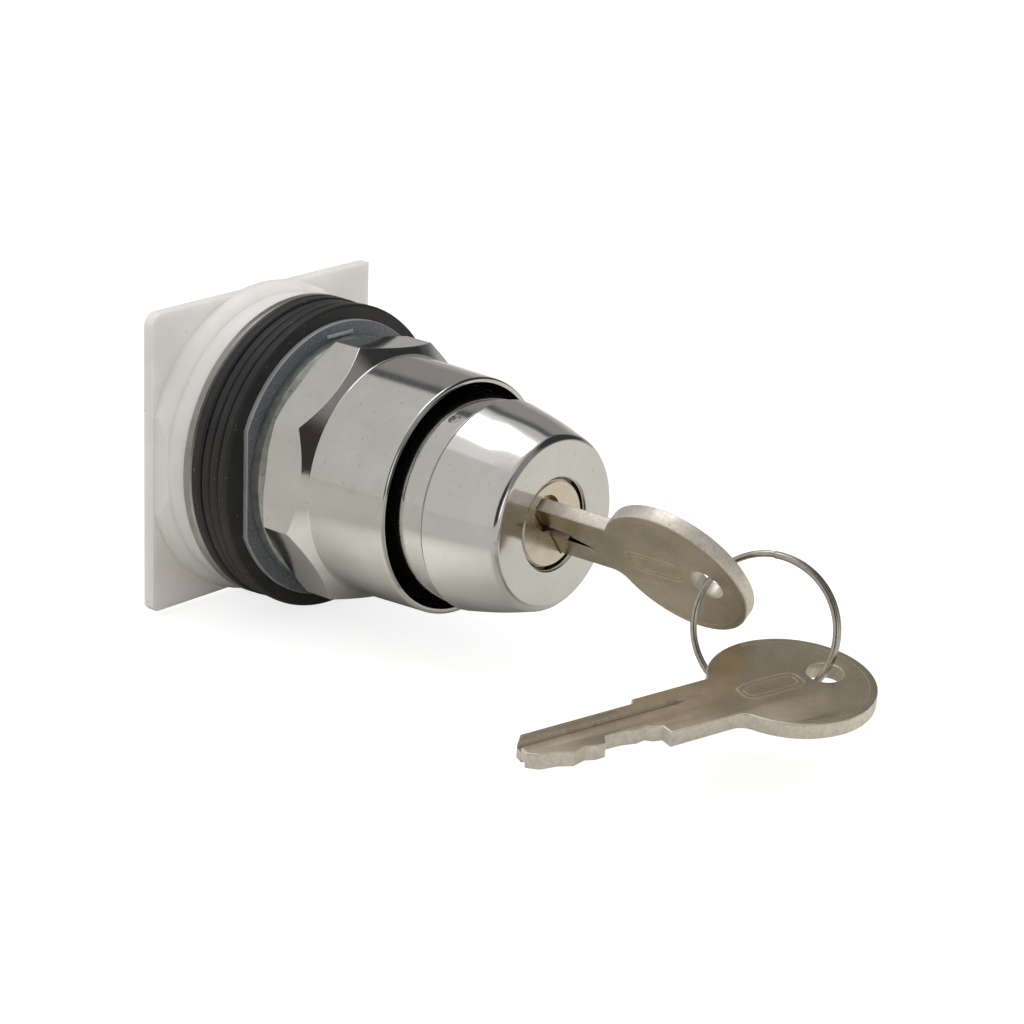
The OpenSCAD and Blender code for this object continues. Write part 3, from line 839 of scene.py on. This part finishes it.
def add_tent():
    """Surroundings that are white to the camera, a toned tent to reflections, and soft light."""
    world = bpy.data.worlds.new("tent")
    world.use_nodes = True
    bpy.context.scene.world = world
    tree = world.node_tree
    back = tree.nodes["Background"]
    where = tree.nodes.new("ShaderNodeTexCoord").outputs["Generated"]
    tent = blend_colours(tree, toward(tree, where, (0, 0, 1), -0.1, 0.6),
                         (0.52, 0.50, 0.455), (0.50, 0.49, 0.465))
    # Dark ahead on the left, dim ahead and above, dark on the upper right, and a small
    # bright opening straight ahead
    for aim, edge, full, tone in (((-0.45, -0.86, 0.2), 0.62, 0.80, (0.035, 0.028, 0.025)),
                                  ((0.25, -0.75, 0.6), 0.70, 0.86, (0.22, 0.215, 0.21)),
                                  ((0.8, -0.3, 0.5), 0.76, 0.90, (0.03, 0.03, 0.03)),
                                  ((-0.25, -0.95, 0.12), 0.965, 0.985, (0.95, 0.95, 0.94))):
        tent = blend_colours(tree, toward(tree, where, aim, edge, full), tent, tone)
    # A card behind on the right, above the floor, from dark at its edge to dim in its middle
    beside = (0.72, 0.69, 0)
    card = times(tree, toward(tree, where, beside, 0.65, 0.68),
                 toward(tree, where, (0, 0, 1), 0.02, 0.22))
    shade = blend_colours(tree, toward(tree, where, beside, 0.72, 0.80),
                          (0.08, 0.08, 0.085), (0.26, 0.25, 0.235))
    tent = blend_colours(tree, card, tent, shade)
    # Dimmer low on the right
    side = times(tree, toward(tree, where, (1, 0, 0), 0.62, 0.74),
                 toward(tree, where, (0, 0, -1), -0.20, -0.02))
    tent = blend_colours(tree, side, tent, (0.37, 0.365, 0.35))
    rays = tree.nodes.new("ShaderNodeLightPath")
    fill = blend_colours(tree, toward(tree, where, (-0.6, -0.8, 0.1), -0.2, 0.8),
                         (0.94, 0.94, 0.94), (1.06, 1.05, 1.03))
    soft = blend_colours(tree, rays.outputs["Is Glossy Ray"], fill, tent)
    tree.links.new(by_ray(tree, (1.0, 1.0, 1.0), soft), back.inputs["Color"])
    back.inputs["Strength"].default_value = 1.0


def lamp(name, place, size, power):
    """A rectangular softbox aimed at the middle of the object."""
    data = bpy.data.lights.new(name, "AREA")
    data.shape, data.size, data.size_y = "RECTANGLE", size[0], size[1]
    data.energy = power
    light = bpy.data.objects.new(name, data)
    bpy.context.scene.collection.objects.link(light)
    light.location = place
    aim = Vector((0, -0.03, 0))
    light.rotation_euler = (aim - Vector(place)).to_track_quat("-Z", "Y").to_euler()


add_floor()
add_tent()
lamp("overhead_softbox", (0.13, 0.25, 0.95), (0.56, 0.40), 0.95)
lamp("softbox_spill", (0.03, 0.25, 0.96), (1.0, 0.44), 0.28)
bpy.context.scene.view_settings.view_transform = "Standard"
